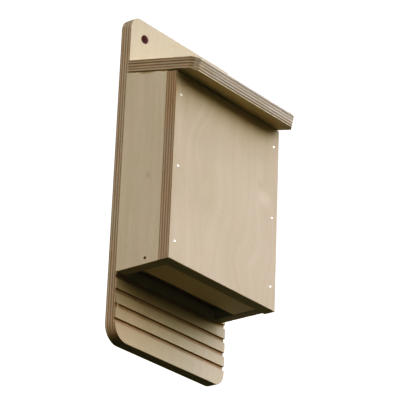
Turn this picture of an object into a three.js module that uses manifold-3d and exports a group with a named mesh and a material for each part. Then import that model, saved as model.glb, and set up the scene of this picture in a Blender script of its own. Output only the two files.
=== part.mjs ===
// Bat box of birch plywood. A flat box, open in a slot along the bottom, is nailed to a long back
// board that hangs on a wall. Millimetres, +Z up, the front faces -Y.
// The origin is the middle of the back board's rear face, which lies against the wall.

import * as THREE from 'three';
import { mergeVertices } from 'three/addons/utils/BufferGeometryUtils.js';
import Module from 'manifold-3d';

const wasm = await Module();
wasm.setup();

// Driving dimensions: the plywood, and the back board, which is a little wider than the box and the
// roof. It reaches below the box as a landing strip and above it as a strip to hang by. Its lower
// right corner was rounded less than the left one.
const plyThickness = 12;
const boardWidth = 162;
const boardOverWidth = 2;
const landingStripHeight = 64.5;
const hangStripHeight = 65.5;
const boardTopCornerRadius = 14;
const boardLowLeftCornerRadius = 18;
const boardLowRightCornerRadius = 13.5;
const hangHoleRadius = 4.5;
const hangHoleInset = 21;
const hangHoleDrop = 19;

// Driving dimensions: the box, which was nailed up a little left of the board's centre line
const boxShift = -4;
const sideDepth = 51;
const sideRearHeight = 206;
const entrySlotDepth = 23.5;

// The front panel was sawn a little wide and out of square: it stands past the right side panel,
// and its bottom edge runs down to the right.
const frontSideOverlap = 1;
const frontBottomSkew = 1.1;

// Driving dimensions: the roof, whose sheet is a little thicker and whose front corners are cut off
const roofThickness = 12.6;
const roofSlope = THREE.MathUtils.degToRad(13.3);
const roofOverhang = 21;
const roofCornerCutAcross = 7;
const roofCornerCutBack = 5.5;

// Driving dimensions: the climbing grooves, saw cuts that bats hold on to
const grooveHeight = 4.4;
const grooveDepth = 2;
const groovePitch = 14.3;
const lowestGrooveHeight = 19;

// Driving dimensions: the nails, which are all alike
const nailShankRadius = 0.8;
const nailHeadRadius = 1.4;
const nailHeadThickness = 0.8;
const nailLength = 30;
const nailPointLength = 3;
const nailEdgeInset = 8;

// Where the nails go
const frontNailInset = 21.2;
const backNailInset = 30;
const roofNailInset = 14;
const floorNailSetback = 11.5;
const nailHeadProud = 0.2;
const nailHeadSunk = 0.3;
const floorNailSunk = 0.8;

// How far each hammered front nail strays from its even place, from the lowest up
const frontNailStrayShares = {
  left: [-0.03, -0.01, -0.015],
  right: [0.015, -0.015, 0.015],
};

// Clearances, and how far a cutting tool runs past the wood
const roofSeatGap = 0.3;
const roofBoardGap = 1.25;
const frontTopGap = 0.7;
const nailClearance = 0.3;
const cutOverrun = 2;

// Facets of the round shapes
const nailSides = 12;
const holeSides = 32;
const cornerSegments = 8;

// Sizes worked out from those above
const quarterTurn = Math.PI / 2;
const halfTurn = Math.PI;
const boardHeight = landingStripHeight + sideRearHeight + hangStripHeight;
const boardBottom = -boardHeight / 2;
const boardFront = -plyThickness;
const boxWidth = boardWidth - boardOverWidth;
const boxBottom = boardBottom + landingStripHeight;
const sideRearTop = boxBottom + sideRearHeight;
const sideFrontHeight = sideRearHeight - sideDepth * Math.tan(roofSlope);
const chamberWidth = boxWidth - plyThickness * 2;
const sideFront = boardFront - sideDepth;
const frontFace = sideFront - plyThickness;
const frontPanelDrop = (sideDepth + plyThickness) * Math.tan(roofSlope);
const frontHeight = sideRearHeight - frontPanelDrop - frontTopGap;
const floorDepth = sideDepth - entrySlotDepth;
const frontWidth = boxWidth + frontSideOverlap;
const roofWidth = boxWidth;
const roofReach = sideDepth + plyThickness + roofOverhang - roofBoardGap;
const roofLength = roofReach / Math.cos(roofSlope);
const nailLineX = frontWidth / 2 - nailEdgeInset;
const outerGrooveCount = Math.floor((landingStripHeight - lowestGrooveHeight) / groovePitch) + 1;
const innerGrooveCount = Math.floor(sideRearHeight / groovePitch) - 1;

// Materials, one for each kind of surface
function birch(color, roughness) {
  return new THREE.MeshStandardMaterial({ color, roughness, metalness: 0, flatShading: true });
}

const boardMaterial = birch(0xdac9a4, 0.75);
const sideMaterial = birch(0xb5a888, 0.78);
const frontMaterial = birch(0xc4ab88, 0.72);
const roofMaterial = birch(0xc9b48c, 0.76);
const floorMaterial = birch(0xa8946c, 0.8);
const nailMaterial = new THREE.MeshStandardMaterial({ color: 0xd9d6cf, roughness: 0.35, metalness: 0.9 });

// Turns a three.js shape into a solid that can be cut: only the vertices' places count, and
// those that coincide are one vertex.
function toSolid(geometry) {
  const bare = geometry.clone();
  bare.deleteAttribute('normal');
  bare.deleteAttribute('uv');
  const merged = mergeVertices(bare);
  return new wasm.Manifold(new wasm.Mesh({
    numProp: 3,
    vertProperties: new Float32Array(merged.attributes.position.array),
    triVerts: new Uint32Array(merged.index.array),
  }));
}

function toGeometry(solid) {
  const mesh = solid.getMesh();
  const geometry = new THREE.BufferGeometry();
  geometry.setAttribute('position', new THREE.BufferAttribute(mesh.vertProperties, 3));
  geometry.setIndex(new THREE.BufferAttribute(mesh.triVerts, 1));
  return geometry;
}

// Takes the tools, which are in the geometry's own frame, out of it.
function cut(geometry, tools) {
  let solid = toSolid(geometry);
  for (const tool of tools) {
    solid = solid.subtract(toSolid(tool));
  }
  return toGeometry(solid);
}

function makeMesh(name, geometry, material, x, y, z) {
  const mesh = new THREE.Mesh(geometry, material);
  mesh.name = name;
  mesh.position.set(x, y, z);
  return mesh;
}

// The board's outline, centred on the origin, with a radius at each corner.
function boardOutline() {
  const corners = [
    { side: 1, end: -1, radius: boardLowRightCornerRadius, from: -quarterTurn },
    { side: 1, end: 1, radius: boardTopCornerRadius, from: 0 },
    { side: -1, end: 1, radius: boardTopCornerRadius, from: quarterTurn },
    { side: -1, end: -1, radius: boardLowLeftCornerRadius, from: halfTurn },
  ];
  const outline = new THREE.Shape();
  for (const { side, end, radius, from } of corners) {
    const x = side * (boardWidth / 2 - radius);
    const y = end * (boardHeight / 2 - radius);
    outline.absarc(x, y, radius, from, from + quarterTurn, false);
  }
  return outline;
}

function extrude(outline, depth) {
  return new THREE.ExtrudeGeometry(outline, { depth, bevelEnabled: false, curveSegments: cornerSegments });
}

// A saw cut across the board's front face, in the board's frame: height up from its bottom edge.
function grooveTool(height, width, centreX) {
  const tool = new THREE.BoxGeometry(width, grooveDepth + cutOverrun, grooveHeight);
  return tool.translate(centreX, boardFront + (grooveDepth - cutOverrun) / 2, boardBottom + height);
}

// The hole that the board hangs by, through its thickness, on the side given as -1 or 1.
function hangHoleTool(side) {
  const length = plyThickness + cutOverrun * 2;
  const tool = new THREE.CylinderGeometry(hangHoleRadius, hangHoleRadius, length, holeSides);
  const x = side * (boardWidth / 2 - hangHoleInset);
  return tool.translate(x, boardFront / 2, -boardBottom - hangHoleDrop);
}

// The long board that carries everything. The cuts below the box run from edge to edge, and those
// inside it stop at the side panels.
function makeBackBoard() {
  const tools = [hangHoleTool(-1), hangHoleTool(1)];
  for (let i = 0; i < outerGrooveCount + innerGrooveCount; i += 1) {
    const height = lowestGrooveHeight + i * groovePitch;
    if (i < outerGrooveCount) {
      tools.push(grooveTool(height, boardWidth + cutOverrun * 2, 0));
    } else {
      tools.push(grooveTool(height, chamberWidth, boxShift));
    }
  }
  const plate = extrude(boardOutline(), plyThickness).rotateX(quarterTurn);
  return makeMesh('back_board', cut(plate, tools), boardMaterial, 0, 0, 0);
}

// A side panel, whose top edge slopes down to the front with the roof.
function makeSidePanel(name, side) {
  const outline = new THREE.Shape();
  outline.moveTo(0, 0);
  outline.lineTo(sideDepth, 0);
  outline.lineTo(sideDepth, sideFrontHeight);
  outline.lineTo(0, sideRearHeight);
  const plate = extrude(outline, plyThickness);
  plate.rotateX(quarterTurn);
  plate.rotateZ(-quarterTurn);
  plate.translate(plyThickness / 2, 0, 0);
  const x = boxShift + side * (boxWidth - plyThickness) / 2;
  return makeMesh(name, plate, sideMaterial, x, boardFront, boxBottom);
}

// The front panel, in the frame of its lower left corner. Its top is bevelled to the roof's slope.
function makeFrontPanel() {
  const bevel = plyThickness * Math.tan(roofSlope);
  const outline = new THREE.Shape();
  outline.moveTo(0, 0);
  outline.lineTo(frontWidth, -frontBottomSkew);
  outline.lineTo(frontWidth, frontHeight + bevel);
  outline.lineTo(0, frontHeight + bevel);
  const plate = extrude(outline, plyThickness).rotateX(quarterTurn);
  const length = (plyThickness + cutOverrun * 2) / Math.cos(roofSlope);
  const wedge = new THREE.BoxGeometry(frontWidth + cutOverrun * 2, length, bevel + cutOverrun);
  wedge.translate(frontWidth / 2, cutOverrun - length / 2, (bevel + cutOverrun) / 2);
  wedge.rotateX(roofSlope);
  wedge.translate(0, 0, frontHeight + bevel);
  const bevelled = cut(plate, [wedge]);
  return makeMesh('front_panel', bevelled, frontMaterial, boxShift - boxWidth / 2, sideFront, boxBottom);
}

// The narrow floor behind the front panel. The slot between it and the board is the way in.
function makeFloorPanel() {
  const plate = new THREE.BoxGeometry(chamberWidth, floorDepth, plyThickness);
  const y = sideFront + floorDepth / 2;
  return makeMesh('floor_panel', plate, floorMaterial, boxShift, y, boxBottom + plyThickness / 2);
}

// The roof, in a frame that is turned to its slope, with the underside's rear edge at the origin.
// The rear edge is cut upright, to stand along the board.
function makeRoofPanel() {
  const bevel = roofThickness * Math.tan(roofSlope);
  const outline = new THREE.Shape();
  outline.moveTo(-roofWidth / 2, bevel);
  outline.lineTo(-roofWidth / 2, roofCornerCutBack - roofLength);
  outline.lineTo(roofCornerCutAcross - roofWidth / 2, -roofLength);
  outline.lineTo(roofWidth / 2 - roofCornerCutAcross, -roofLength);
  outline.lineTo(roofWidth / 2, roofCornerCutBack - roofLength);
  outline.lineTo(roofWidth / 2, bevel);
  const upright = roofThickness / Math.cos(roofSlope) + cutOverrun * 2;
  const wedge = new THREE.BoxGeometry(roofWidth + cutOverrun * 2, bevel + cutOverrun, upright);
  wedge.translate(0, (bevel + cutOverrun) / 2, upright / 2 - cutOverrun);
  wedge.rotateX(-roofSlope);
  const plate = cut(extrude(outline, roofThickness), [wedge]);
  return makeMesh('roof_panel', plate, roofMaterial, 0, 0, 0);
}

// A round, pointed profile from the tip on the axis up to the top of the head.
function nailProfile(headRadius, headTop, headBottom, shankRadius, tip, pointLength) {
  return [
    new THREE.Vector2(0, tip),
    new THREE.Vector2(shankRadius, tip + pointLength),
    new THREE.Vector2(shankRadius, headBottom),
    new THREE.Vector2(headRadius, headBottom),
    new THREE.Vector2(headRadius, headTop),
    new THREE.Vector2(0, headTop),
  ];
}

// A nail along its own Y axis, with the top of its head at the origin.
const nailGeometry = new THREE.LatheGeometry(
  nailProfile(nailHeadRadius, 0, -nailHeadThickness, nailShankRadius, -nailLength, nailPointLength),
  nailSides,
);

// The hole for a nail: the same form with a clearance all round, open at the surface.
const nailHoleTool = new THREE.LatheGeometry(
  nailProfile(
    nailHeadRadius + nailClearance,
    cutOverrun,
    -nailHeadThickness - nailClearance,
    nailShankRadius + nailClearance,
    -nailLength - nailClearance,
    nailPointLength,
  ),
  nailSides,
);

function makeNail(name, x, y, z, turnX, turnZ) {
  const nail = makeMesh(name, nailGeometry.clone(), nailMaterial, x, y, z);
  nail.rotation.set(turnX, 0, turnZ);
  return nail;
}

// Nails up each side of the front, into the front edges of the side panels.
function makeFrontNails(sideName, side) {
  const strayShares = frontNailStrayShares[sideName];
  const pitch = (frontHeight - frontNailInset * 2) / (strayShares.length - 1);
  return strayShares.map((strayShare, i) => {
    const height = frontNailInset + (i + strayShare) * pitch;
    return makeNail(
      `front_nail_${sideName}_${i + 1}`,
      boxShift + frontSideOverlap / 2 + side * nailLineX,
      frontFace - nailHeadProud,
      boxBottom + height,
      halfTurn,
      0,
    );
  });
}

// Three nails from behind, through the board into the rear edge of each side panel. Their heads
// lie just under the board's rear face, which has to sit flat on the wall.
function makeBackNails(sideName, side) {
  const lowest = boxBottom + backNailInset;
  const highest = sideRearTop - backNailInset;
  const heights = [lowest, (lowest + highest) / 2, highest];
  const x = boxShift + side * (boxWidth - plyThickness) / 2;
  return heights.map((z, i) => makeNail(`back_nail_${sideName}_${i + 1}`, x, -nailHeadSunk, z, 0, 0));
}

// One nail through each side panel into the end of the floor, driven below the surface.
function makeFloorNail(sideName, side) {
  return makeNail(
    `floor_nail_${sideName}`,
    boxShift + side * (boxWidth / 2 - floorNailSunk),
    sideFront + floorDepth - floorNailSetback,
    boxBottom + plyThickness / 2,
    0,
    -side * quarterTurn,
  );
}

// Two nails down through the roof into the sloping top of each side panel, in the roof's frame.
function makeRoofNails(sideName, side) {
  const rear = -roofNailInset;
  const front = roofNailInset - sideDepth / Math.cos(roofSlope);
  const x = side * (boxWidth - plyThickness) / 2;
  const z = roofThickness + nailHeadProud;
  return [rear, front].map((y, i) => makeNail(`roof_nail_${sideName}_${i + 1}`, x, y, z, quarterTurn, 0));
}

// Makes a hole in a panel for each nail that passes through or into it.
function drill(panel, nails) {
  const toPanel = panel.matrixWorld.clone().invert();
  const tools = nails.map((nail) => {
    const intoPanel = toPanel.clone().multiply(nail.matrixWorld);
    return nailHoleTool.clone().applyMatrix4(intoPanel);
  });
  panel.geometry = cut(panel.geometry, tools);
}

const backBoard = makeBackBoard();
const sidePanelLeft = makeSidePanel('side_panel_left', -1);
const sidePanelRight = makeSidePanel('side_panel_right', 1);
const frontPanel = makeFrontPanel();
const floorPanel = makeFloorPanel();
const roofPanel = makeRoofPanel();

const frontNailsLeft = makeFrontNails('left', -1);
const frontNailsRight = makeFrontNails('right', 1);
const backNailsLeft = makeBackNails('left', -1);
const backNailsRight = makeBackNails('right', 1);
const floorNailLeft = makeFloorNail('left', -1);
const floorNailRight = makeFloorNail('right', 1);
const roofNailsLeft = makeRoofNails('left', -1);
const roofNailsRight = makeRoofNails('right', 1);

// The roof and its nails share one frame. Its underside keeps a thin gap to the side panels.
const roof = new THREE.Group();
roof.rotation.x = roofSlope;
roof.position.set(
  boxShift,
  boardFront - roofBoardGap,
  sideRearTop + roofSeatGap / Math.cos(roofSlope) - roofBoardGap * Math.tan(roofSlope),
);
roof.add(roofPanel, ...roofNailsLeft, ...roofNailsRight);

const batBox = new THREE.Group();
batBox.add(backBoard, sidePanelLeft, sidePanelRight, frontPanel, floorPanel, roof);
batBox.add(...frontNailsLeft, ...frontNailsRight, ...backNailsLeft, ...backNailsRight);
batBox.add(floorNailLeft, floorNailRight);
batBox.updateMatrixWorld(true);

drill(backBoard, [...backNailsLeft, ...backNailsRight]);
drill(sidePanelLeft, [...frontNailsLeft, ...backNailsLeft, floorNailLeft, ...roofNailsLeft]);
drill(sidePanelRight, [...frontNailsRight, ...backNailsRight, floorNailRight, ...roofNailsRight]);
drill(frontPanel, [...frontNailsLeft, ...frontNailsRight]);
drill(floorPanel, [floorNailLeft, floorNailRight]);
drill(roofPanel, [...roofNailsLeft, ...roofNailsRight]);

export default batBox;
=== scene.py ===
"""Looks of a plywood bat box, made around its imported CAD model: the camera, the stage and the light,
then every panel as sawn plywood, every nail, and their materials.
Metres, +Z up, the front of the box faces -Y. The back board's rear face lies on Y = 0."""

import math
from dataclasses import dataclass

import bmesh
import bpy
from mathutils import Matrix, Vector, noise


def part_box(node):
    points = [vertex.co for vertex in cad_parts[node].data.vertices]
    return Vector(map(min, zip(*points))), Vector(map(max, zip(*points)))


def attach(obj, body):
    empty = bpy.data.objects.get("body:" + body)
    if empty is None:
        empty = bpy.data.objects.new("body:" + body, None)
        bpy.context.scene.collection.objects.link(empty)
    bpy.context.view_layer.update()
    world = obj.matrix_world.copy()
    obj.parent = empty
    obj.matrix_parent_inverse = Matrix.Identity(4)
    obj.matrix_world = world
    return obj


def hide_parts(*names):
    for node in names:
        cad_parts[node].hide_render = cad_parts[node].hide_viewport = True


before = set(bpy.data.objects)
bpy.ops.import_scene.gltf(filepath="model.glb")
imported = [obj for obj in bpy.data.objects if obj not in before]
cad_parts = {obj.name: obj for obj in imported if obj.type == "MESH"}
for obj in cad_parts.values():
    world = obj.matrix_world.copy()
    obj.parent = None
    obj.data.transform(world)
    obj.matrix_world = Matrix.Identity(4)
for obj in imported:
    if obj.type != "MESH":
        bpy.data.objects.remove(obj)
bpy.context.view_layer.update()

MM = 0.001
QUARTER_TURN = math.pi / 2
HALF_TURN = math.pi
FULL_TURN = math.pi * 2
X_AXIS, Y_AXIS, Z_AXIS = Vector((1, 0, 0)), Vector((0, 1, 0)), Vector((0, 0, 1))

# The camera, solved from the photograph with the real sizes of the box. Angles are in radians
CAMERA_EYE = Vector((-1.4751, -1.2536, -0.8491))
CAMERA_HEADING = -0.8825
CAMERA_PITCH = 0.4152
CAMERA_ROLL = 0.0401
CAMERA_LENS = 195.9
CAMERA_SENSOR = 36
CAMERA_CLIP_START = 0.05
CAMERA_CLIP_END = 200

# How the picture is toned: blue dips in the shadows, and green a little but for the darkest
VIEW_GAMMA = 0.8
GREEN_CURVE = (
    (0.006, 0.007), (0.013, 0.0145), (0.03, 0.029), (0.06, 0.055), (0.15, 0.147), (0.3, 0.3),
)
BLUE_CURVE = (
    (0.004, 0.004), (0.0085, 0.0062), (0.022, 0.0098), (0.06, 0.033), (0.1, 0.064),
    (0.16, 0.121), (0.22, 0.18), (0.33, 0.297), (0.5, 0.487),
)

# The stage
FLOOR_LEVEL = -2.4
FLOOR_RADIUS = 40
FLOOR_SEGMENTS = 96
FLOOR_COLOUR = (0.8, 0.79, 0.77)
FLOOR_ROUGHNESS = 0.9
BACKDROP_RADIUS = 12
BACKDROP_SEGMENTS = 64
BACKDROP_LIGHT = 1.1
WHITE = (1, 1, 1)

# The sky: its light at each sine of the elevation, dim at the horizon and right overhead
SKY_LIGHT = (
    (0.0, 0.005), (0.045, 0.09), (0.14, 0.44), (0.23, 0.78), (0.33, 0.99), (0.44, 1.0),
    (0.54, 0.82), (0.63, 0.7), (0.72, 0.55), (0.85, 0.38), (1.0, 0.13),
)
# Its tint at the horizon and overhead, and the tint of the little light that comes from below
LOW_SKY_TINT = Vector((1.0, 0.87, 0.705))
HIGH_SKY_TINT = Vector((1.0, 1.135, 1.305))
GROUND_TINT = Vector((1.0, 0.8, 0.35))
SKY_STRENGTH = 2.76
# It is brighter towards one heading than away from it, and brighter both ways along a level line
# than across that line
FRONT_SHARE = 0.45
FRONT_HEADING = math.radians(45)
LINE_SHARE = 1.0
LINE_HEADING = math.radians(60)

# The plywood: nine plies, of which the two faces are sanded thinner
PLY_COUNT = 9
OUTER_PLY = PLY_COUNT - 1
FACE_PLY = 0.95 * MM
ARRIS_RADIUS = 0.25 * MM
ARRIS_STEPS = 3
CORNER_ROUNDING = 0.7 * MM
PLY_SEAM = 0.03 * MM
END_GRAIN_DEPTH = 0.06 * MM
RAGGED_DEPTH = 0.07 * MM
RAGGED_WAVE = 6 * MM
LONG_GRAIN_RAGGED_SHARE = 0.4
OUTLINE_STEP = 1.5 * MM
ARC_STEP = math.radians(6)
SHARP_ANGLE = math.radians(28)
LEAN_REACH = 3 * MM

# Scallops that saw teeth tear out side by side: their half width and how far it varies, their pitch
# in half widths, and how their depth varies. Splinters roughen their floor. They lie where the edge
# looks their way, by the cosine of the angle between
SCALLOP_REACH = 2.6 * MM
SCALLOP_REACH_SPREAD = 1.6 * MM
SCALLOP_REACH_WAVE = 5 * MM
SCALLOP_PITCH_SHARE = 1.8
SCALLOP_DEPTH_SHARE = 0.55
SCALLOP_DEPTH_SPREAD_SHARE = 0.9
SCALLOP_DEPTH_WAVE = 4 * MM
SCALLOP_DEPTH_NOISE = 9
SPLINTER_SHARE = 0.35
SPLINTER_WAVE = 1.2 * MM
TORN_COSINE = 0.7

# Sizes of the box that the frame doesn't give
ROOF_SLOPE = math.radians(13.3)
ROOF_CUT_ACROSS = 7 * MM
ROOF_CUT_BACK = 5.5 * MM
ROOF_LEFT_ROUNDING = 7 * MM
ROOF_RIGHT_ROUNDING = 1 * MM
ROOF_FRONT_ROUNDING = 4 * MM
BOARD_TOP_RADIUS = 14 * MM
BOARD_LOW_LEFT_RADIUS = 18 * MM
BOARD_LOW_RIGHT_RADIUS = 13.5 * MM
HANG_HOLE_RADIUS = 4.5 * MM
HANG_HOLE_INSET = 21 * MM
HANG_HOLE_DROP = 19 * MM
GROOVE_HEIGHT = 4.4 * MM
GROOVE_DEPTH = 2 * MM
GROOVE_PITCH = 14.3 * MM
LOWEST_GROOVE = 19 * MM
NAIL_RADIUS = 0.8 * MM
NAIL_LENGTH = 30 * MM
NAIL_POINT = 2.5 * MM
NAIL_HEAD_RADIUS = 1.4 * MM
NAIL_HEAD_THICKNESS = 0.8 * MM
NAIL_HEAD_LOWER_SHARES = (0.9, 0.85)
NAIL_NECK_SHARE = 1.5
NAIL_TIP_SHARE = 0.08
NAIL_DOME = 0.35 * MM
NAIL_DOME_STEPS = 5
NAIL_SIDES = 24
FLATNESS = 0.01 * MM

# Traces of the tools: the oval rim that the drill left at a hanging hole, the dent round a nail's
# head, a sliver of veneer that still bridges a groove (the lowest groove is number 1), and the sway
# of the saw in the grooves
HOLE_SIDES = 40
RIM_REACH = 5.8 * MM
RIM_WIDTH = 4.55 * MM
RIM_DEPTH = 1.8 * MM
RIM_FOOT_SHARE = 0.9
RIM_HEADING = math.radians(30)
DENT_RADIUS = 1.5 * MM
DENT_DEPTH = 1.3 * MM
SUNK_DENT_DEPTH = 2.0 * MM
SLIVER_GROOVE = 2
SLIVER_INSET = 3.0 * MM
SLIVER_WIDTH = 1.6 * MM
SLIVER_THICKNESS = 0.6 * MM
SLIVER_UNDER_SHARE = 0.8
SLIVER_ROOM_SHARE = 1.5
SAW_SWAY = 0.12 * MM
SAW_WAVE = 9 * MM
SAW_STEP = 4 * MM

# How far a cutting tool runs past the wood
OVERRUN = 1 * MM

# Where most values of Blender's noise texture lie, and how far apart two patterns of one kind are in
# the noise that both come from
NOISE_RANGE = (0.3, 0.7)
NOISE_STEP = 5.1
PLY_NOISE_STEP = 3.7
SEED_NOISE_STEP = 17.3
EDGE_NOISE_STEP = 53.0

# A panel's materials, in the order of its slots, the gloss that a shader starts with, and how much of
# a mark's half size has its full strength
FACE, EDGE, CUT, BORE = range(4)
FULL_SHINE = 0.5
MARK_CORE_SHARE = 0.25

# The figure of a face veneer. A layer has its number and the width and length of a wave in
# millimetres, and a change says what red, green and blue gain or lose where the layer is at its peak
DRIFT_LAYER = (1, 75, 110)
RIPPLE_LAYER = (2, 20, 45)
BAND_LAYER_NUMBER = 3
LINE_LAYER = (4, 1.7, 80)
CLOUD_LAYER = (5, 40, 55)
TINT_LAYER = (6, 24, 36)
PORE_LAYER = (7, 0.4, 3.4)
DEPTH_RATE = 0.11
RIPPLE_SHARE = 0.15
BAND_LENGTH_SHARE = 22
BAND_TONE_SHARE = 0.55
LINE_TONE_SHARE = 0.3
CLOUD_TONE_SHARE = 0.35
LINE_HEIGHT_SHARE = 0.5
CONTRAST_SHARES = (1, 1.2, 1.6)
TINT_CHANGE = (0.008, -0.006, 0.010)
PORE_RANGE = (0.7, 1.0)
PORE_CHANGE = (-0.10, -0.15, -0.22)
FACE_ROUGHNESS = (0.55, 0.68)
FACE_RELIEF = 0.03 * MM

# The grain of a sawn edge. A layer has its waves in a millimetre along the edge, its waves in a
# millimetre or a ply through the sheet, and how many steps a panel's seed moves it
WOBBLE_LAYER = (0.07, 0.65, 3.1)
SMEAR_LAYER = (0.11, 1.0, 1.0)
STREAK_LAYER = (0.055, 2.2, 1.0)
OPEN_PORE_LAYER = (1.1, 0.9, 1.0)
BATCH_LAYER = (0.012, 5.3, 1.7)
WARMTH_LAYER = (0.035, 0.2, 2.3)
WOBBLE_SHARE = 0.15
STREAK_CHANGE = (0.10, 0.11, 0.13)
OPEN_PORE_CHANGE = (0.20, 0.22, 0.25)
BATCH_CHANGE = (0.09, 0.10, 0.12)
WARMTH_CHANGE = (0.04, 0.0, -0.05)
# The outer plies of an edge are paler: the face veneer's own colour, with a painted highlight along the
# arris.
OUTER_CHANGE = (0.07, 0.09, 0.12)
GLUE_CHANGE = (-0.62, -0.68, -0.74)
GLUE_WIDTH_SHARES = (0.03, 0.13)
GLUE_STRENGTH = (0.15, 0.55)
CROSS_RANGE = (0.1, 0.66)
LEDGE_COSINE = 0.7
EDGE_ROUGHNESS = 0.78
EDGE_RELIEF = 0.05 * MM

# The long-grain and end-grain colours in a saw cut or a dent
CUT_COLOURS = ((0.55, 0.42, 0.345), (0.33, 0.22, 0.14))

# The scorched bore of a hanging hole. Rates are waves in a millimetre each way
BORE_COLOUR = (0.41, 0.22, 0.33)
BORE_RATES = (0.2, 0.2, 1.4)
BORE_CHANGE = (0.3, 0.35, 0.35)
BORE_ROUGHNESS = 0.7
BORE_RELIEF = 0.04 * MM

# The steel of the nails, which is far darker and rougher on the sunk ones
STEEL_COLOUR = (0.64, 0.63, 0.61)
STEEL_ROUGHNESS = 0.38
DULL_STEEL_COLOUR = (0.12, 0.10, 0.075)
DULL_STEEL_ROUGHNESS = 0.6
STEEL_RATES = (1.6, 1.6, 0.4)
STEEL_CHANGE = (0.12, 0.13, 0.15)
STEEL_ROUGHNESS_SHARES = (0.8, 1.3)
STEEL_RELIEF = 0.03 * MM

# The ways that the edges of a panel look in its own frame
UP, DOWN, LEFT = Vector((0, 1)), Vector((0, -1)), Vector((-1, 0))


@dataclass
# Most marks are painted light or shade; a few are spots on the wood.
class Mark:
    """A soft oval patch on the wood: its middle and half sizes in millimetres of the piece's own
    frame, and how much it changes red, green and blue."""

    centre: tuple
    size: tuple
    change: tuple


@dataclass
class Tear:
    """A scallop torn out of some plies, on the edges that look the facing way. centre is its place
    along the edge, reach its half width and depth how far it goes in."""

    facing: Vector
    plies: tuple
    centre: float
    reach: float
    depth: float


@dataclass
class Wood:
    """One panel's plywood. Colours are linear. The face grain runs along the piece's own Y, or X.
    rip and cross hold the long-grain and end-grain colours of the edges sawn along the face grain
    and across it, and rip_plies and cross_plies the plies of another colour there. cross_shine is
    the gloss across the grain. top_extra is how much the top veneer is thicker than the lower one.
    band, sway and contrast are the figure's width, wander and strength."""

    face: tuple
    rip: tuple
    cross: tuple
    seed: int
    rip_plies: tuple = ()
    cross_plies: tuple = ()
    cross_shine: float = FULL_SHINE
    top_extra: float = 0.0
    along_x: bool = False
    band: float = 7.0
    sway: float = 5.0
    contrast: float = 0.05
    spots_and_painted_light: tuple = ()
    tears: tuple = ()


def ragged_edge(facing, plies, start, end, depth, seed):
    """Scallops side by side along an edge, of uneven width and depth, as saw teeth leave them."""
    tears = []
    place = start
    while place < end:
        wider = noise.noise(Vector((place / SCALLOP_REACH_WAVE, seed, 0)))
        deeper = noise.noise(Vector((place / SCALLOP_DEPTH_WAVE, seed, SCALLOP_DEPTH_NOISE)))
        reach = SCALLOP_REACH + SCALLOP_REACH_SPREAD * wider
        uneven = SCALLOP_DEPTH_SHARE + SCALLOP_DEPTH_SPREAD_SHARE * deeper
        tears.append(Tear(facing, plies, place, reach, depth * max(0, uneven)))
        place += reach * SCALLOP_PITCH_SHARE
    return tuple(tears)


BOARD_WOOD = Wood(
    face=(0.65, 0.574, 0.458),
    rip=((0.36, 0.26, 0.205), (0.60, 0.463, 0.388)),
    cross=((0.36, 0.30, 0.20), (0.16, 0.115, 0.07)),
    cross_shine=0.1,
    seed=1, band=9, sway=6, contrast=0.035,
    spots_and_painted_light=(
        # Painted light and shade on the foot: warmer painted shade on its left and along that edge,
        # painted light on its right and painted shade between.
        Mark((-81, -145, 12), (125, 60, 12), (0.0, -0.08, -0.11)),
        Mark((-83, -120, 6), (6, 90, 14), (-0.1, -0.1, -0.12)),
        Mark((78, -140, 12), (75, 60, 6), (0.11, 0.09, 0.12)),
        Mark((20, -140, 12), (80, 60, 6), (-0.07, -0.06, -0.03)),
    ),
)
LEFT_SIDE_WOOD = Wood(
    face=(0.69, 0.575, 0.46),
    rip=((0.54, 0.41, 0.27), (0.34, 0.24, 0.145)),
    cross=((0.36, 0.32, 0.25), (0.165, 0.13, 0.09)),
    seed=2, band=6, sway=3, contrast=0.05,
    spots_and_painted_light=(
        # A small brown spot with a faint halo
        Mark((33.8, 89.5, 12), (2.6, 3.4, 3), (-0.13, -0.17, -0.24)),
        Mark((33.8, 89.5, 12), (6, 9, 3), (-0.03, -0.03, -0.04)),
    ),
    # The outer ply is torn along the top edge, twice deeply.
    tears=(
        Tear(UP, (OUTER_PLY,), 26 * MM, 9.5 * MM, 2.2 * MM),
        Tear(UP, (OUTER_PLY,), 47 * MM, 3.5 * MM, 1.1 * MM),
    ) + ragged_edge(UP, (OUTER_PLY,), 5 * MM, 48 * MM, 0.35 * MM, 3),
)
RIGHT_SIDE_WOOD = Wood(
    face=LEFT_SIDE_WOOD.face,
    rip=LEFT_SIDE_WOOD.rip,
    cross=LEFT_SIDE_WOOD.cross,
    seed=4, band=8, sway=5, contrast=0.05,
    spots_and_painted_light=(
        # Painted shade: the inner face is darkened down by the slot, and so is the bottom edge.
        Mark((26, 20, 0), (60, 70, 8), (-0.6, -0.55, -0.5)),
        Mark((26, 0, 8), (60, 8, 14), (-0.35, -0.35, -0.38)),
    ),
    # The bottom edge has a chip in the inner ply and is ragged along the outer one.
    tears=(
        Tear(DOWN, (0,), 21 * MM, 8 * MM, 1.6 * MM),
    ) + ragged_edge(DOWN, (OUTER_PLY,), 3 * MM, 48 * MM, 0.5 * MM, 5),
)
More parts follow.
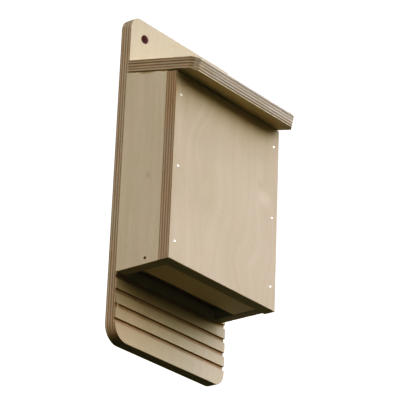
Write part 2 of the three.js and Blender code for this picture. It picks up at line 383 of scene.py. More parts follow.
FRONT_WOOD = Wood(
    face=(0.64, 0.54, 0.436),
    rip=((0.35, 0.24, 0.192), (0.555, 0.412, 0.35)),
    cross=((0.30, 0.29, 0.215), (0.145, 0.12, 0.075)),
    cross_shine=0.35,
    seed=6, band=9, sway=14, contrast=0.05,
    spots_and_painted_light=(
        # A pale patch halfway up on the right, with a brown one beside it
        Mark((141, 110, 12), (13, 11, 4), (0.11, 0.11, 0.15)),
        Mark((132.6, 122, 12), (6, 5, 4), (-0.05, -0.06, -0.08)),
        # Painted shade under the roof, and down the left edge.
        Mark((80, 187, 12), (200, 8, 4), (-0.2, -0.18, -0.17)),
        Mark((0, 100, 12), (9, 130, 4), (-0.04, -0.06, -0.08)),
        Mark((0, 175, 6), (4, 60, 16), (-0.04, -0.11, -0.2)),
        # Painted light makes the face paler low down, and painted shade from the roof makes it duller
        # towards the top.
        Mark((35, 30, 12), (60, 50, 4), (0.05, 0.05, 0.06)),
        Mark((130, 60, 12), (60, 90, 4), (0.03, 0.03, 0.04)),
        Mark((45, 150, 12), (70, 45, 4), (-0.04, -0.04, -0.04)),
        Mark((120, 165, 12), (45, 32, 4), (-0.07, -0.07, -0.09)),
        Mark((12, 165, 12), (14, 30, 4), (-0.07, -0.08, -0.1)),
    ),
    # The top left corner is worn through all plies, and the bottom edge is ragged.
    tears=(
        Tear(UP, tuple(range(PLY_COUNT)), 0, 7 * MM, 0.8 * MM),
    ) + ragged_edge(DOWN, (OUTER_PLY,), 4 * MM, 158 * MM, 0.35 * MM, 7),
)
FLOOR_WOOD = Wood(
    face=(0.555, 0.455, 0.29),
    rip=((0.50, 0.38, 0.25), (0.30, 0.21, 0.125)),
    cross=((0.46, 0.365, 0.24), (0.22, 0.147, 0.085)),
    seed=7, along_x=True,
    # Painted shade: its underside is darker towards the right end.
    spots_and_painted_light=(Mark((136, 14, 12), (90, 60, 8), (-0.33, -0.36, -0.38)),),
)
ROOF_WOOD = Wood(
    face=(0.68, 0.55, 0.374),
    # The long-grain rip colour is raised far past the other panels': painted light on the front edge,
    # which faces the front.
    rip=((0.80, 0.72, 0.68), (0.40, 0.33, 0.287)),
    cross=((0.535, 0.415, 0.335), (0.28, 0.177, 0.127)),
    rip_plies=(
        (0, (0.33, 0.35, 0.25)), (1, (-0.29, -0.35, -0.42)), (2, (-0.07, -0.1, -0.12)),
        (3, (0.06, 0.05, 0.08)), (5, (0.30, 0.34, 0.38)), (7, (0.06, 0.10, 0.16)),
    ),
    cross_plies=(
        (2, (0.16, 0.16, 0.24)), (6, (-0.09, -0.09, -0.05)), (7, (-0.14, -0.15, -0.14)),
    ),
    spots_and_painted_light=(
        # Painted shade: the underside is darker along the front panel, and at its right end.
        Mark((-75, -62, 0), (150, 16, 1.5), (-0.48, -0.42, -0.45)),
        Mark((75, -78, 0), (60, 22, 1.5), (-0.18, -0.2, -0.2)),
        Mark((80, -84, 0), (20, 18, 1.5), (-0.45, -0.45, -0.45)),
        # The front edge is paler on its right and browner on its left.
        Mark((60, -86, 5), (45, 6, 7), (0.12, 0.12, 0.12)),
        Mark((-66, -86, 7), (26, 6, 9), (-0.08, -0.12, -0.2)),
    ),
    top_extra=0.72 * MM,
    seed=9, along_x=True, band=8, sway=8,
    # The lower ply is ragged along the left end.
    tears=ragged_edge(LEFT, (0,), -80 * MM, -4 * MM, 1.0 * MM, 8),
)


def set_scene_colours():
    view = bpy.context.scene.view_settings
    view.view_transform = "Standard"
    view.look = "None"
    view.exposure = 0
    view.gamma = VIEW_GAMMA
    view.use_curve_mapping = True
    green, blue = view.curve_mapping.curves[1:3]
    for curve, points in ((green, GREEN_CURVE), (blue, BLUE_CURVE)):
        for light, shown in points:
            curve.points.new(light, shown)
    view.curve_mapping.update()


def add_object(name, data):
    made = bpy.data.objects.new(name, data)
    bpy.context.scene.collection.objects.link(made)
    return made


def make_camera():
    data = bpy.data.cameras.new("camera")
    data.lens = CAMERA_LENS
    data.sensor_width = CAMERA_SENSOR
    data.clip_start = CAMERA_CLIP_START
    data.clip_end = CAMERA_CLIP_END
    turn = (
        Matrix.Rotation(CAMERA_HEADING, 4, "Z")
        @ Matrix.Rotation(QUARTER_TURN + CAMERA_PITCH, 4, "X")
        @ Matrix.Rotation(CAMERA_ROLL, 4, "Z")
    )
    camera = add_object("camera", data)
    camera.matrix_world = Matrix.Translation(CAMERA_EYE) @ turn
    bpy.context.scene.camera = camera


class Shading:
    """A node tree in the making, with short calls for the nodes that the looks are made of."""

    def __init__(self, tree):
        self.tree = tree
        tree.nodes.clear()

    def node(self, kind, inputs=None, **settings):
        made = self.tree.nodes.new("ShaderNode" + kind)
        for key, value in settings.items():
            setattr(made, key, value)
        for key, value in (inputs or {}).items():
            socket = made.inputs[key]
            if isinstance(value, bpy.types.NodeSocket):
                self.tree.links.new(value, socket)
            elif socket.type == "RGBA":
                socket.default_value = (*value, 1)
            else:
                socket.default_value = value
        return made

    def math(self, operation, a, b=0.0, c=0.0):
        return self.node("Math", {0: a, 1: b, 2: c}, operation=operation).outputs[0]

    def add(self, *values):
        total = values[0]
        for value in values[1:]:
            total = self.math("ADD", total, value)
        return total

    def times(self, *values):
        product = values[0]
        for value in values[1:]:
            product = self.math("MULTIPLY", product, value)
        return product

    def vector(self, operation, *values):
        made = self.node("VectorMath", dict(enumerate(values)), operation=operation)
        return made.outputs["Value" if operation in ("DOT_PRODUCT", "LENGTH") else "Vector"]

    def split(self, vector):
        return self.node("SeparateXYZ", {0: vector}).outputs

    def noise(self, x, y, z, detail=2.0, roughness=0.5):
        """Noise from -1 to 1, of which one wave is about one unit long."""
        place = self.node("CombineXYZ", {0: x, 1: y, 2: z}).outputs[0]
        inputs = {"Vector": place, "Scale": 1.0, "Detail": detail, "Roughness": roughness}
        return self.remap(self.node("TexNoise", inputs).outputs["Fac"], *NOISE_RANGE, -1.0, 1.0)

    def remap(self, value, low, high, to_low=0.0, to_high=1.0, smooth=False):
        kind = "SMOOTHSTEP" if smooth else "LINEAR"
        inputs = {0: value, 1: low, 2: high, 3: to_low, 4: to_high}
        return self.node("MapRange", inputs, interpolation_type=kind).outputs[0]

    def mix(self, share, a, b):
        """A colour between two. The node's colour sockets are its inputs 6 and 7 and its output 2."""
        return self.node("Mix", {0: share, 6: a, 7: b}, data_type="RGBA").outputs[2]

    def tinted(self, colour, share, change):
        """Multiplies a colour by 1 + share * change, where change has one number per channel."""
        gain = self.vector("MULTIPLY_ADD", share, change, (1, 1, 1))
        return self.vector("MULTIPLY", colour, gain)

    def position(self):
        """The place in the piece's own frame, in millimetres."""
        return self.vector("MULTIPLY", self.node("TexCoord").outputs["Object"], (1 / MM,) * 3)

    def speckle(self, rates, **settings):
        """Noise in the piece's own frame. rates says how many waves a millimetre has each way."""
        parts = zip(self.split(self.position()), rates)
        return self.noise(*(self.times(part, rate) for part, rate in parts), **settings)

    def marked(self, colour, spots_and_painted_light):
        """A colour with each mark's patch on it."""
        place = self.position()
        for mark in spots_and_painted_light:
            offset = self.vector("DIVIDE", self.vector("SUBTRACT", place, mark.centre), mark.size)
            out = self.vector("LENGTH", offset)
            share = self.remap(out, MARK_CORE_SHARE, 1.0, 1.0, 0.0, smooth=True)
            colour = self.tinted(colour, share, mark.change)
        return colour

    def surface(self, colour, roughness, height=None, relief=0.0, metallic=0.0, shine=FULL_SHINE):
        """Ends a material with one shader. height is in parts of relief."""
        inputs = {"Base Color": colour, "Roughness": roughness, "Metallic": metallic}
        inputs["Specular IOR Level"] = shine
        if height is not None:
            inputs["Normal"] = self.node("Bump", {"Height": height, "Distance": relief}).outputs[0]
        shader = self.node("BsdfPrincipled", inputs)
        self.node("OutputMaterial", {"Surface": shader.outputs[0]})


def new_material(name):
    material = bpy.data.materials.new(name)
    material.use_nodes = True
    return material, Shading(material.node_tree)


def level_way(heading):
    """A level direction: 0 looks the way that the box faces, and more turns towards +X."""
    return Vector((math.sin(heading), -math.cos(heading), 0))


def make_world():
    world = bpy.data.worlds.new("soft_studio")
    bpy.context.scene.world = world
    world.use_nodes = True
    s = Shading(world.node_tree)
    way = s.node("TexCoord").outputs["Generated"]
    ramp = s.node("ValToRGB", {0: s.split(way)[2]})
    stops = ramp.color_ramp.elements
    # A new ramp has two stops already.
    for i, (height, light) in enumerate(SKY_LIGHT):
        stop = stops[i] if i < 2 else stops.new(height)
        stop.position = height
        tint = LOW_SKY_TINT.lerp(HIGH_SKY_TINT, height) if height > 0 else GROUND_TINT
        stop.color = (*(tint * light), 1)
    towards = s.vector("DOT_PRODUCT", way, level_way(FRONT_HEADING) * FRONT_SHARE)
    along = s.vector("DOT_PRODUCT", way, level_way(LINE_HEADING))
    line = s.math("MULTIPLY_ADD", s.times(along, along), LINE_SHARE, 1 - LINE_SHARE / 2)
    strength = s.times(s.add(line, towards), SKY_STRENGTH)
    background = s.node("Background", {"Color": ramp.outputs[0], "Strength": strength})
    s.node("OutputWorld", {"Surface": background.outputs[0]})


def make_stage():
    """A pale floor far below, which throws no light up, and a white dome round everything, which only
    the camera sees."""
    floor_mesh = bmesh.new()
    bmesh.ops.create_circle(floor_mesh, cap_ends=True, segments=FLOOR_SEGMENTS, radius=FLOOR_RADIUS)
    floor = object_from("stage_floor", floor_mesh)
    floor.location.z = FLOOR_LEVEL
    material, s = new_material("pale_floor")
    s.surface(FLOOR_COLOUR, FLOOR_ROUGHNESS)
    floor.data.materials.append(material)
    floor.visible_diffuse = False

    dome_mesh = bmesh.new()
    rows = BACKDROP_SEGMENTS // 2
    bmesh.ops.create_uvsphere(
        dome_mesh, u_segments=BACKDROP_SEGMENTS, v_segments=rows, radius=BACKDROP_RADIUS
    )
    dome = object_from("stage_backdrop", dome_mesh)
    material, s = new_material("white_backdrop")
    glow = s.node("Emission", {"Color": WHITE, "Strength": BACKDROP_LIGHT})
    s.node("OutputMaterial", {"Surface": glow.outputs[0]})
    dome.data.materials.append(material)
    dome.visible_diffuse = False
    dome.visible_glossy = False
    dome.visible_transmission = False
    dome.visible_shadow = False


def object_from(name, mesh):
    """Turns a bmesh into an object, and frees it."""
    data = bpy.data.meshes.new(name)
    mesh.to_mesh(data)
    mesh.free()
    return add_object(name, data)


def face_material(name, wood):
    """The face veneer of birch: rotary-cut bands that wander, fine lines, clouds of another tint,
    and short dark pores."""
    material, s = new_material(name)
    x, y, level = s.split(s.position())
    across, along = (y, x) if wood.along_x else (x, y)

    def pattern(place, layer, **settings):
        number, width, length = layer
        shift = wood.seed * SEED_NOISE_STEP + number * NOISE_STEP
        depth = s.math("MULTIPLY_ADD", level, DEPTH_RATE, shift)
        waves = s.math("DIVIDE", place, width), s.math("DIVIDE", along, length)
        return s.noise(*waves, depth, **settings)

    drift = s.times(pattern(across, DRIFT_LAYER, detail=1.0), wood.sway)
    ripple = s.times(pattern(across, RIPPLE_LAYER, detail=1.0), wood.sway * RIPPLE_SHARE)
    bent = s.add(across, drift, ripple)
    bands = pattern(bent, (BAND_LAYER_NUMBER, wood.band, wood.band * BAND_LENGTH_SHARE), detail=3.0)
    lines = pattern(bent, LINE_LAYER, detail=2.0, roughness=0.6)
    clouds = pattern(across, CLOUD_LAYER)
    tint = pattern(across, TINT_LAYER, detail=1.0)
    pores = s.remap(pattern(across, PORE_LAYER, detail=1.0), *PORE_RANGE)
    tone = s.add(
        s.times(bands, BAND_TONE_SHARE),
        s.times(lines, LINE_TONE_SHARE),
        s.times(clouds, CLOUD_TONE_SHARE),
    )
    colour = s.tinted(wood.face, tone, tuple(wood.contrast * share for share in CONTRAST_SHARES))
    colour = s.tinted(colour, tint, TINT_CHANGE)
    colour = s.marked(colour, wood.spots_and_painted_light)
    colour = s.tinted(colour, pores, PORE_CHANGE)
    height = s.math("SUBTRACT", s.times(lines, LINE_HEIGHT_SHARE), pores)
    s.surface(colour, s.remap(lines, -1.0, 1.0, *FACE_ROUGHNESS), height, FACE_RELIEF)
    return material


def edge_material(name, wood, thickness, rip, cross):
    """A sawn edge: plies in turn along the grain, which are streaked, and across it, which are
    porous, with thin glue lines between them. rip and cross are as in Wood."""
    material, s = new_material(name)
    x, y, z = s.split(s.position())
    nx, ny, nz = s.split(s.node("TexCoord").outputs["Normal"])
    run = s.add(x, y, wood.seed * EDGE_NOISE_STEP)

    def pattern(level, layer, **settings):
        along, through, seed_steps = layer
        shift = wood.seed * seed_steps
        return s.noise(s.times(run, along), s.times(level, through), shift, **settings)

    # turn counts the plies, from 0 at the seam over the lowest one.
    inner = inner_ply(thickness, wood) / MM
    wobble = s.times(pattern(z, WOBBLE_LAYER, detail=1.0), WOBBLE_SHARE)
    turn = s.math("DIVIDE", s.add(z, wobble, -FACE_PLY / MM), inner)
    ply = s.math("MINIMUM", s.add(s.math("FLOOR", turn), 1.0), OUTER_PLY)
    odd = s.math("MODULO", s.add(ply, 2.0), 2.0)
    even = s.math("SUBTRACT", 1.0, odd)

    # How far a point looks across the grain. A torn ledge and the bottom of a saw cut face along the
    # sheet's thickness, and are neither ends nor sides of the sheet.
    facing = nx if wood.along_x else ny
    ends = s.remap(s.times(facing, facing), *CROSS_RANGE, smooth=True)
    on_edge = s.math("LESS_THAN", s.math("ABSOLUTE", nz), LEDGE_COSINE)
    sides = s.times(on_edge, s.math("SUBTRACT", 1.0, ends))
    end_grain = s.math("MULTIPLY_ADD", odd, sides, s.times(even, ends))

    # The last seam is the one under the top ply.
    seam_share = s.math("FRACT", s.add(s.math("MINIMUM", turn, OUTER_PLY - 0.5), 4.0))
    seam = s.math("MINIMUM", seam_share, s.math("SUBTRACT", 1.0, seam_share))
    smear = pattern(ply, SMEAR_LAYER, detail=1.0)
    glue_line = s.remap(seam, *GLUE_WIDTH_SHARES, 1.0, 0.0)
    glue = s.times(glue_line, s.remap(smear, -1.0, 1.0, *GLUE_STRENGTH), on_edge)

    streak = pattern(z, STREAK_LAYER, detail=3.0)
    pore = pattern(z, OPEN_PORE_LAYER, detail=3.0, roughness=0.7)
    long_tone = s.tinted(s.mix(ends, rip[0], cross[0]), streak, STREAK_CHANGE)
    end_tone = s.tinted(s.mix(ends, rip[1], cross[1]), pore, OPEN_PORE_CHANGE)
    colour = s.mix(end_grain, long_tone, end_tone)
    colour = s.tinted(colour, pattern(ply, BATCH_LAYER), BATCH_CHANGE)
    colour = s.tinted(colour, pattern(z, WARMTH_LAYER), WARMTH_CHANGE)
    # The outer plies are paler: their own colour, with a painted highlight along the arris.
    from_middle = s.math("ABSOLUTE", s.add(ply, -OUTER_PLY / 2))
    colour = s.tinted(colour, s.math("GREATER_THAN", from_middle, OUTER_PLY / 2 - 0.5), OUTER_CHANGE)
    colour = s.marked(colour, wood.spots_and_painted_light)
    for share, changes in ((sides, wood.rip_plies), (ends, wood.cross_plies)):
        for number, change in changes:
            colour = s.tinted(colour, s.times(s.math("COMPARE", ply, number, 0.5), share), change)
    colour = s.tinted(colour, glue, GLUE_CHANGE)
    height = s.math("SUBTRACT", s.times(pore, end_grain), glue)
    shine = FULL_SHINE
    if wood.cross_shine != FULL_SHINE:
        shine = s.math("MULTIPLY_ADD", ends, wood.cross_shine - FULL_SHINE, FULL_SHINE)
    s.surface(colour, EDGE_ROUGHNESS, height, EDGE_RELIEF, shine=shine)
    return material


def bore_material(name):
    """The drilled wall of a hanging hole, scorched by the bit."""
    material, s = new_material(name)
    ring = s.speckle(BORE_RATES)
    s.surface(s.tinted(BORE_COLOUR, ring, BORE_CHANGE), BORE_ROUGHNESS, ring, BORE_RELIEF)
    return material


def steel_material(name, colour, roughness):
    """Drawn steel with faint blotches, dented by the hammer."""
    material, s = new_material(name)
    blotch = s.speckle(STEEL_RATES, detail=3.0)
    rough = s.remap(blotch, -1.0, 1.0, *(roughness * share for share in STEEL_ROUGHNESS_SHARES))
    s.surface(s.tinted(colour, blotch, STEEL_CHANGE), rough, blotch, STEEL_RELIEF, metallic=1.0)
    return material


def outline_points(corners):
    """A closed outline, counter-clockwise, as points with their outward normals. corners has
    (x, y, radius) for each corner in turn. Each is an arc, and the runs between them are divided."""
    arcs = []
    for i, (x, y, radius) in enumerate(corners):
        here = Vector((x, y))
        before = (Vector(corners[i - 1][:2]) - here).normalized()
        after = (Vector(corners[(i + 1) % len(corners)][:2]) - here).normalized()
        half = before.angle(after) / 2
        centre = here + (before + after).normalized() * (radius / math.sin(half))
        first = here + before * (radius / math.tan(half)) - centre
        turn = HALF_TURN - half * 2
        steps = max(3, math.ceil(turn / ARC_STEP))
        arc = []
        for k in range(steps + 1):
            normal = (Matrix.Rotation(turn * k / steps, 2) @ first).normalized()
            arc.append((centre + normal * radius, normal))
        arcs.append(arc)
    points = []
    for i, arc in enumerate(arcs):
        points += arc
        start, normal = arc[-1]
        run = arcs[(i + 1) % len(arcs)][0][0] - start
        steps = max(1, round(run.length / OUTLINE_STEP))
        points += [(start + run * (k / steps), normal) for k in range(1, steps)]
    return points


def inner_ply(thickness, wood):
    """How thick each ply between the two faces is."""
    return (thickness - FACE_PLY * 2 - wood.top_extra) / (PLY_COUNT - 2)


def plate_rings(thickness, wood):
    """The rings of a plate's edge from face to face: (height, inset of the worn arris, ply) of each."""
    inner = inner_ply(thickness, wood)
    turns = [QUARTER_TURN * k / ARRIS_STEPS for k in range(ARRIS_STEPS + 1)]
    arris = [(ARRIS_RADIUS * (1 - math.cos(t)), ARRIS_RADIUS * (1 - math.sin(t))) for t in turns]
    rings = [(height, inset, 0) for height, inset in arris]
    for ply in range(1, PLY_COUNT):
        seam = FACE_PLY + inner * (ply - 1)
        rings += [(seam - PLY_SEAM, 0, ply - 1), (seam + PLY_SEAM, 0, ply)]
    rings += [(thickness - height, inset, OUTER_PLY) for height, inset in reversed(arris)]
    return rings


def saw_inset(point, normal, ply, wood):
    """How far a point of the edge lies inside the true outline: end grain is a little lower than
    long grain, and the saw left both ragged."""
    end = normal.x ** 2 if wood.along_x else normal.y ** 2
    end_grain = end if ply % 2 == 0 else 1 - end
    layer = ply * PLY_NOISE_STEP + wood.seed
    ragged = 0.5 + 0.5 * noise.noise(Vector((point.x / RAGGED_WAVE, point.y / RAGGED_WAVE, layer)))
    ragged *= LONG_GRAIN_RAGGED_SHARE + (1 - LONG_GRAIN_RAGGED_SHARE) * end_grain
    return END_GRAIN_DEPTH * end_grain + RAGGED_DEPTH * ragged


def torn_inset(point, normal, ply, wood):
    """How deep the deepest tear is at a point of the edge."""
    deepest = 0
    for tear in wood.tears:
        if ply not in tear.plies or normal.dot(tear.facing) < TORN_COSINE:
            continue
        along = point.x if tear.facing.y else point.y
        share = 1 - ((along - tear.centre) / tear.reach) ** 2
        if share > 0:
            rough = noise.noise(Vector((along / SPLINTER_WAVE, ply, wood.seed)))
            splinters = 1 + SPLINTER_SHARE * rough
            deepest = max(deepest, tear.depth * math.sqrt(share) * splinters)
    return deepest


def ply_plate(name, corners, thickness, wood):
    """A plywood plate in its own frame: the outline in X and Y, the inner face at Z = 0 and the
    outer face at Z = thickness."""
    outline = outline_points(corners)
    mesh = bmesh.new()
    rows = []
    for height, arris, ply in plate_rings(thickness, wood):
        row = []
        for point, normal in outline:
            inset = arris + saw_inset(point, normal, ply, wood) + torn_inset(point, normal, ply, wood)
            place = point - normal * inset
            row.append(mesh.verts.new((place.x, place.y, height)))
        rows.append(row)
    count = len(outline)
    for low, high in zip(rows, rows[1:]):
        for i in range(count):
            j = (i + 1) % count
            mesh.faces.new((low[i], low[j], high[j], high[i])).material_index = EDGE
    mesh.faces.new(list(reversed(rows[0]))).material_index = FACE
    mesh.faces.new(rows[-1]).material_index = FACE
    return object_from(name, mesh)


def lean_edge(piece, edge_y, rate):
    """Slants the edge at edge_y, the highest Y, which moves by rate times the height over the inner
    face."""
    for vertex in piece.data.vertices:
        share = min(1, max(0, 1 - (edge_y - vertex.co.y) / LEAN_REACH))
        vertex.co.y += share * vertex.co.z * rate


def add_tube(mesh, rings, material_index=0):
    """Skins a row of closed rings of points and caps both ends."""
    rows = [[mesh.verts.new(p) for p in ring] for ring in rings]
    count = len(rows[0])
    faces = [mesh.faces.new(list(reversed(rows[0]))), mesh.faces.new(rows[-1])]
    for low, high in zip(rows, rows[1:]):
        for i in range(count):
            j = (i + 1) % count
            faces.append(mesh.faces.new((low[i], low[j], high[j], high[i])))
    for face in faces:
        face.material_index = material_index


def add_saw_cut(mesh, y, x_from, x_to, thickness, seed, sliver_x=None):
    """A groove across the outer face. Its long sides waver a little, as the blade did. At sliver_x a
    sliver of the veneer is left in place over it."""
    steps = max(2, round((x_to - x_from) / SAW_STEP))
    places = [(x_from + (x_to - x_from) * k / steps, thickness + OVERRUN) for k in range(steps + 1)]
    if sliver_x is not None:
        half = SLIVER_WIDTH / 2
        inner = half * SLIVER_UNDER_SHARE
        under = thickness - SLIVER_THICKNESS
        places = [place for place in places if abs(place[0] - sliver_x) > half * SLIVER_ROOM_SHARE]
        places += [
            (sliver_x - half, thickness + OVERRUN), (sliver_x - inner, under),
            (sliver_x + inner, under), (sliver_x + half, thickness + OVERRUN),
        ]
        places.sort()
    rings = []
    for x, top in places:
        shifts = [side * NOISE_STEP for side in range(3)]
        sway = [noise.noise(Vector((x / SAW_WAVE, seed, shift))) * SAW_SWAY for shift in shifts]
        low = y - GROOVE_HEIGHT / 2 + sway[0]
        high = y + GROOVE_HEIGHT / 2 + sway[1]
        floor = thickness - GROOVE_DEPTH + sway[2]
        rings.append([(x, low, floor), (x, high, floor), (x, high, top), (x, low, top)])
    add_tube(mesh, rings, CUT)


def add_round_cut(mesh, x, y, levels, material_index, sides):
    """A hole along Z. levels has (z, reach, width, heading) from the bottom up: the half axes of the
    hole's oval there, and the way of the longer one."""
    rings = []
    for z, reach, width, heading in levels:
        ring = []
        for k in range(sides):
            turn = FULL_TURN * k / sides
            oval = Vector((reach * math.cos(turn), width * math.sin(turn)))
            place = Matrix.Rotation(heading, 2) @ oval
            ring.append((x + place.x, y + place.y, z))
        rings.append(ring)
    add_tube(mesh, rings, material_index)


def cut_out(piece, cutter_mesh):
    """Takes a cutter's mesh out of a piece, for good."""
    bmesh.ops.recalc_face_normals(cutter_mesh, faces=cutter_mesh.faces)
    cutter = object_from("cutter", cutter_mesh)
    for material in piece.data.materials:
        cutter.data.materials.append(material)
    modifier = piece.modifiers.new("cut", "BOOLEAN")
    modifier.operation = "DIFFERENCE"
    modifier.solver = "EXACT"
    modifier.object = cutter
    graph = bpy.context.evaluated_depsgraph_get()
    result = bpy.data.meshes.new_from_object(piece.evaluated_get(graph), depsgraph=graph)
    piece.modifiers.clear()
    piece.data = result
    bpy.data.objects.remove(cutter)


def shade_edges(piece, flat_faces=True):
    """Smooth over the round corners, and sharp where faces meet at an angle."""
    mesh = bmesh.new()
    mesh.from_mesh(piece.data)
    for face in mesh.faces:
        face.smooth = not (flat_faces and face.material_index == FACE)
    for edge in mesh.edges:
        edge.smooth = edge.calc_face_angle(HALF_TURN) < SHARP_ANGLE
    mesh.to_mesh(piece.data)
    mesh.free()


def finish_panel(piece, wood, thickness, *cutters):
    """Gives a panel its materials, takes each cutter out of it in turn and shades it."""
    name = piece.name
    for material in (
        face_material(name + "_face", wood),
        edge_material(name + "_edge", wood, thickness, wood.rip, wood.cross),
        edge_material(name + "_cut", wood, thickness, CUT_COLOURS, CUT_COLOURS),
        bore_material(name + "_bore"),
    ):
        piece.data.materials.append(material)
    for cutter in cutters:
        cut_out(piece, cutter)
    shade_edges(piece)


def place_panel(piece, node, placing):
    """Puts a panel from its own frame into the box's, and lets it stand for its CAD node. placing
    holds its origin and the ways of its own X and Y."""
    origin, x_axis, y_axis = placing
    turn = Matrix((x_axis, y_axis, x_axis.cross(y_axis))).transposed().to_4x4()
    piece.matrix_world = Matrix.Translation(origin) @ turn
    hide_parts(node)
    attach(piece, "root")


def nail_nodes(start):
    return [n for n in sorted(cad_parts) if n.startswith(start)]


def head_centre(node, outward):
    """The middle of a nail's head, as the mean of the points that reach furthest outward."""
    points = [v.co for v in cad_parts[node].data.vertices]
    reach = max(p.dot(outward) for p in points)
    top = [p for p in points if reach - p.dot(outward) < FLATNESS]
    return sum(top, Vector()) / len(top)


def add_nail_dents(mesh, nails, outward, placing, low, high):
    """The round dents that driven nails leave in a panel, from low to high through its sheet. nails
    is how the names of their nodes start."""
    origin, x_axis, y_axis = placing
    levels = [(z, DENT_RADIUS, DENT_RADIUS, 0) for z in (low, high)]
    for node in nail_nodes(nails):
        head = head_centre(node, outward) - origin
        add_round_cut(mesh, head.dot(x_axis), head.dot(y_axis), levels, CUT, NAIL_SIDES)


def sawn_corners(*points):
    """The corners of a panel as a saw leaves them, square but for a little wear."""
    return [(x, y, CORNER_ROUNDING) for x, y in points]


def add_grooves(mesh, foot, half_width, thickness):
    """Climbing grooves at one pitch up the board, whose lower end is at foot. Below the box they run
    from side to side, and inside it between the side panels, as the floor panel does."""
    inside_low, inside_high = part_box("floor_panel")
    box_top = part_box("side_panel_left")[1].z
    height = foot + LOWEST_GROOVE
    index = 0
    while height < box_top - GROOVE_PITCH:
        sliver_x = SLIVER_INSET - half_width if index + 1 == SLIVER_GROOVE else None
        if height < inside_low.z:
            ends = (-half_width - OVERRUN, half_width + OVERRUN)
        else:
            ends = (inside_low.x, inside_high.x)
        add_saw_cut(mesh, height, *ends, thickness, index, sliver_x)
        height += GROOVE_PITCH
        index += 1


def add_hanging_hole(bores, rims, x, y, thickness):
    """A hole drilled through the board, and the oval rim that is taken off it afterwards."""
    bore = [(z, HANG_HOLE_RADIUS, HANG_HOLE_RADIUS, 0) for z in (-OVERRUN, thickness + OVERRUN)]
    add_round_cut(bores, x, y, bore, BORE, HOLE_SIDES)
    foot = HANG_HOLE_RADIUS * RIM_FOOT_SHARE
    spread = 1 + OVERRUN / RIM_DEPTH
    reach = HANG_HOLE_RADIUS + (RIM_REACH - HANG_HOLE_RADIUS) * spread
    width = HANG_HOLE_RADIUS + (RIM_WIDTH - HANG_HOLE_RADIUS) * spread
    rim = [
        (thickness - RIM_DEPTH, foot, foot, RIM_HEADING),
        (thickness + OVERRUN, reach, width, RIM_HEADING),
    ]
    add_round_cut(rims, x, y, rim, BORE, HOLE_SIDES)


def make_back_board():
    """The board's own X and Y start from its middle."""
    low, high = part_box("back_board")
    thickness = high.y - low.y
    half_width, half_height = (high.x - low.x) / 2, (high.z - low.z) / 2
    corners = [
        (half_width, -half_height, BOARD_LOW_RIGHT_RADIUS),
        (half_width, half_height, BOARD_TOP_RADIUS),
        (-half_width, half_height, BOARD_TOP_RADIUS),
        (-half_width, -half_height, BOARD_LOW_LEFT_RADIUS),
    ]
    board = ply_plate("board_plywood", corners, thickness, BOARD_WOOD)
    placing = (Vector((0, high.y, 0)), X_AXIS, Z_AXIS)
    cutter, rims = bmesh.new(), bmesh.new()
    add_grooves(cutter, low.z, half_width, thickness)
    for side in (-1, 1):
        place = side * (half_width - HANG_HOLE_INSET), half_height - HANG_HOLE_DROP
        add_hanging_hole(cutter, rims, *place, thickness)
    add_nail_dents(cutter, "back_nail", Y_AXIS, placing, -OVERRUN, DENT_DEPTH)
    finish_panel(board, BOARD_WOOD, thickness, cutter, rims)
    place_panel(board, "back_board", placing)


def make_side_panel(side_name, side, wood):
    """side is -1 for the left panel and 1 for the right one."""
    node = "side_panel_" + side_name
    low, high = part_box(node)
    thickness = high.x - low.x
    depth = high.y - low.y
    rear_height = high.z - low.z
    front_height = rear_height - depth * math.tan(ROOF_SLOPE)
    # The panel's own X runs to the front on the left, and to the rear on the right.
    heights = (rear_height, front_height) if side < 0 else (front_height, rear_height)
    corners = sawn_corners((0, 0), (depth, 0), (depth, heights[1]), (0, heights[0]))
    panel = ply_plate("side_plywood_" + side_name, corners, thickness, wood)
    origin = Vector((high.x, high.y, low.z)) if side < 0 else Vector((low.x, low.y, low.z))
    placing = (origin, Y_AXIS * side, Z_AXIS)
    dent = (thickness - SUNK_DENT_DEPTH, thickness + OVERRUN)
    cutter = bmesh.new()
    add_nail_dents(cutter, "floor_nail_" + side_name, X_AXIS * side, placing, *dent)
    finish_panel(panel, wood, thickness, cutter)
    place_panel(panel, node, placing)


def make_front_panel():
    """The panel isn't square: its bottom edge runs down to the right. Its top edge follows the roof."""
    low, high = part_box("front_panel")
    thickness = high.y - low.y
    origin = Vector((low.x, high.y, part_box("side_panel_left")[0].z))
    width, height = high.x - low.x, high.z - origin.z
    corners = sawn_corners((0, 0), (width, low.z - origin.z), (width, height), (0, height))
    panel = ply_plate("front_plywood", corners, thickness, FRONT_WOOD)
    lean_edge(panel, height, -math.tan(ROOF_SLOPE))
    placing = (origin, X_AXIS, Z_AXIS)
    dent = (thickness - DENT_DEPTH, thickness + OVERRUN)
    cutter = bmesh.new()
    add_nail_dents(cutter, "front_nail", -Y_AXIS, placing, *dent)
    finish_panel(panel, FRONT_WOOD, thickness, cutter)
    place_panel(panel, "front_panel", placing)


def make_floor_panel():
    """The panel lies with its outer face down."""
    low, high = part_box("floor_panel")
    thickness = high.z - low.z
    width, depth = high.x - low.x, high.y - low.y
    corners = sawn_corners((0, 0), (width, 0), (width, depth), (0, depth))
    panel = ply_plate("floor_plywood", corners, thickness, FLOOR_WOOD)
    finish_panel(panel, FLOOR_WOOD, thickness)
    place_panel(panel, "floor_panel", (Vector((low.x, high.y, high.z)), X_AXIS, -Y_AXIS))


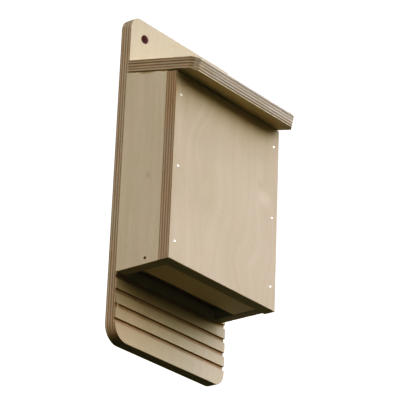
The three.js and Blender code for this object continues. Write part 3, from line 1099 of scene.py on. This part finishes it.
def make_roof_panel():
    """The plate's own Y runs up its slope to the back board, where its edge is cut upright."""
    low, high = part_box("roof_panel")
    rise, reach = high.z - low.z, high.y - low.y
    sine, cosine = math.sin(ROOF_SLOPE), math.cos(ROOF_SLOPE)
    # rise = thickness / cosine + length * sine, and reach = thickness * sine + length * cosine
    thickness = (rise * cosine - reach * sine) / cosine ** 2
    length = (reach - thickness * sine) / cosine
    half_width = (high.x - low.x) / 2
    corners = [
        (half_width - ROOF_CUT_ACROSS, -length, CORNER_ROUNDING),
        (half_width, ROOF_CUT_BACK - length, ROOF_RIGHT_ROUNDING),
        (half_width, 0, CORNER_ROUNDING),
        (-half_width, 0, CORNER_ROUNDING),
        (-half_width, ROOF_CUT_BACK - length, ROOF_LEFT_ROUNDING),
        (ROOF_CUT_ACROSS - half_width, -length, ROOF_FRONT_ROUNDING),
    ]
    panel = ply_plate("roof_plywood", corners, thickness, ROOF_WOOD)
    lean_edge(panel, 0, math.tan(ROOF_SLOPE))
    uphill = Vector((0, cosine, sine))
    origin = Vector(((low.x + high.x) / 2, high.y, high.z - thickness / cosine))
    placing = (origin, X_AXIS, uphill)
    dent = (thickness - DENT_DEPTH, thickness + OVERRUN)
    cutter = bmesh.new()
    add_nail_dents(cutter, "roof_nail", X_AXIS.cross(uphill), placing, *dent)
    finish_panel(panel, ROOF_WOOD, thickness, cutter)
    place_panel(panel, "roof_panel", placing)


def nail_data(name, material):
    """A round nail with a point, a flat neck under its head and a slightly domed top. The middle of
    the top lies at the origin, and the nail runs down -Z."""
    under_share, rim_share = NAIL_HEAD_LOWER_SHARES
    profile = [
        (NAIL_RADIUS * NAIL_TIP_SHARE, -NAIL_LENGTH),
        (NAIL_RADIUS, NAIL_POINT - NAIL_LENGTH),
        (NAIL_RADIUS, -NAIL_HEAD_THICKNESS * NAIL_NECK_SHARE),
        (NAIL_HEAD_RADIUS * under_share, -NAIL_HEAD_THICKNESS),
        (NAIL_HEAD_RADIUS, -NAIL_HEAD_THICKNESS * rim_share),
    ]
    dome = [QUARTER_TURN * k / NAIL_DOME_STEPS for k in range(NAIL_DOME_STEPS)]
    profile += [(NAIL_HEAD_RADIUS * math.cos(t), NAIL_DOME * (math.sin(t) - 1)) for t in dome]
    turns = [FULL_TURN * k / NAIL_SIDES for k in range(NAIL_SIDES)]
    rings = [[(radius * math.cos(t), radius * math.sin(t), z) for t in turns] for radius, z in profile]
    mesh = bmesh.new()
    add_tube(mesh, rings)
    nail = object_from(name, mesh)
    nail.data.materials.append(material)
    shade_edges(nail, flat_faces=False)
    data = nail.data
    bpy.data.objects.remove(nail)
    return data


def make_nails():
    bright = nail_data("bright_nail", steel_material("bright_steel", STEEL_COLOUR, STEEL_ROUGHNESS))
    dull = nail_data("dull_nail", steel_material("dull_steel", DULL_STEEL_COLOUR, DULL_STEEL_ROUGHNESS))
    roof_way = Vector((0, -math.sin(ROOF_SLOPE), math.cos(ROOF_SLOPE)))
    for start, outward, data in (
        ("front_nail", -Y_AXIS, bright),
        ("back_nail", Y_AXIS, bright),
        ("roof_nail", roof_way, bright),
        ("floor_nail_left", -X_AXIS, dull),
        ("floor_nail_right", X_AXIS, dull),
    ):
        turn = outward.to_track_quat("Z", "Y").to_matrix().to_4x4()
        for node in nail_nodes(start):
            nail = add_object(node + "_steel", data)
            nail.matrix_world = Matrix.Translation(head_centre(node, outward)) @ turn
            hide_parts(node)
            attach(nail, "root")


set_scene_colours()
make_camera()
make_world()
make_stage()
make_back_board()
make_side_panel("left", -1, LEFT_SIDE_WOOD)
make_side_panel("right", 1, RIGHT_SIDE_WOOD)
make_front_panel()
make_floor_panel()
make_roof_panel()
make_nails()
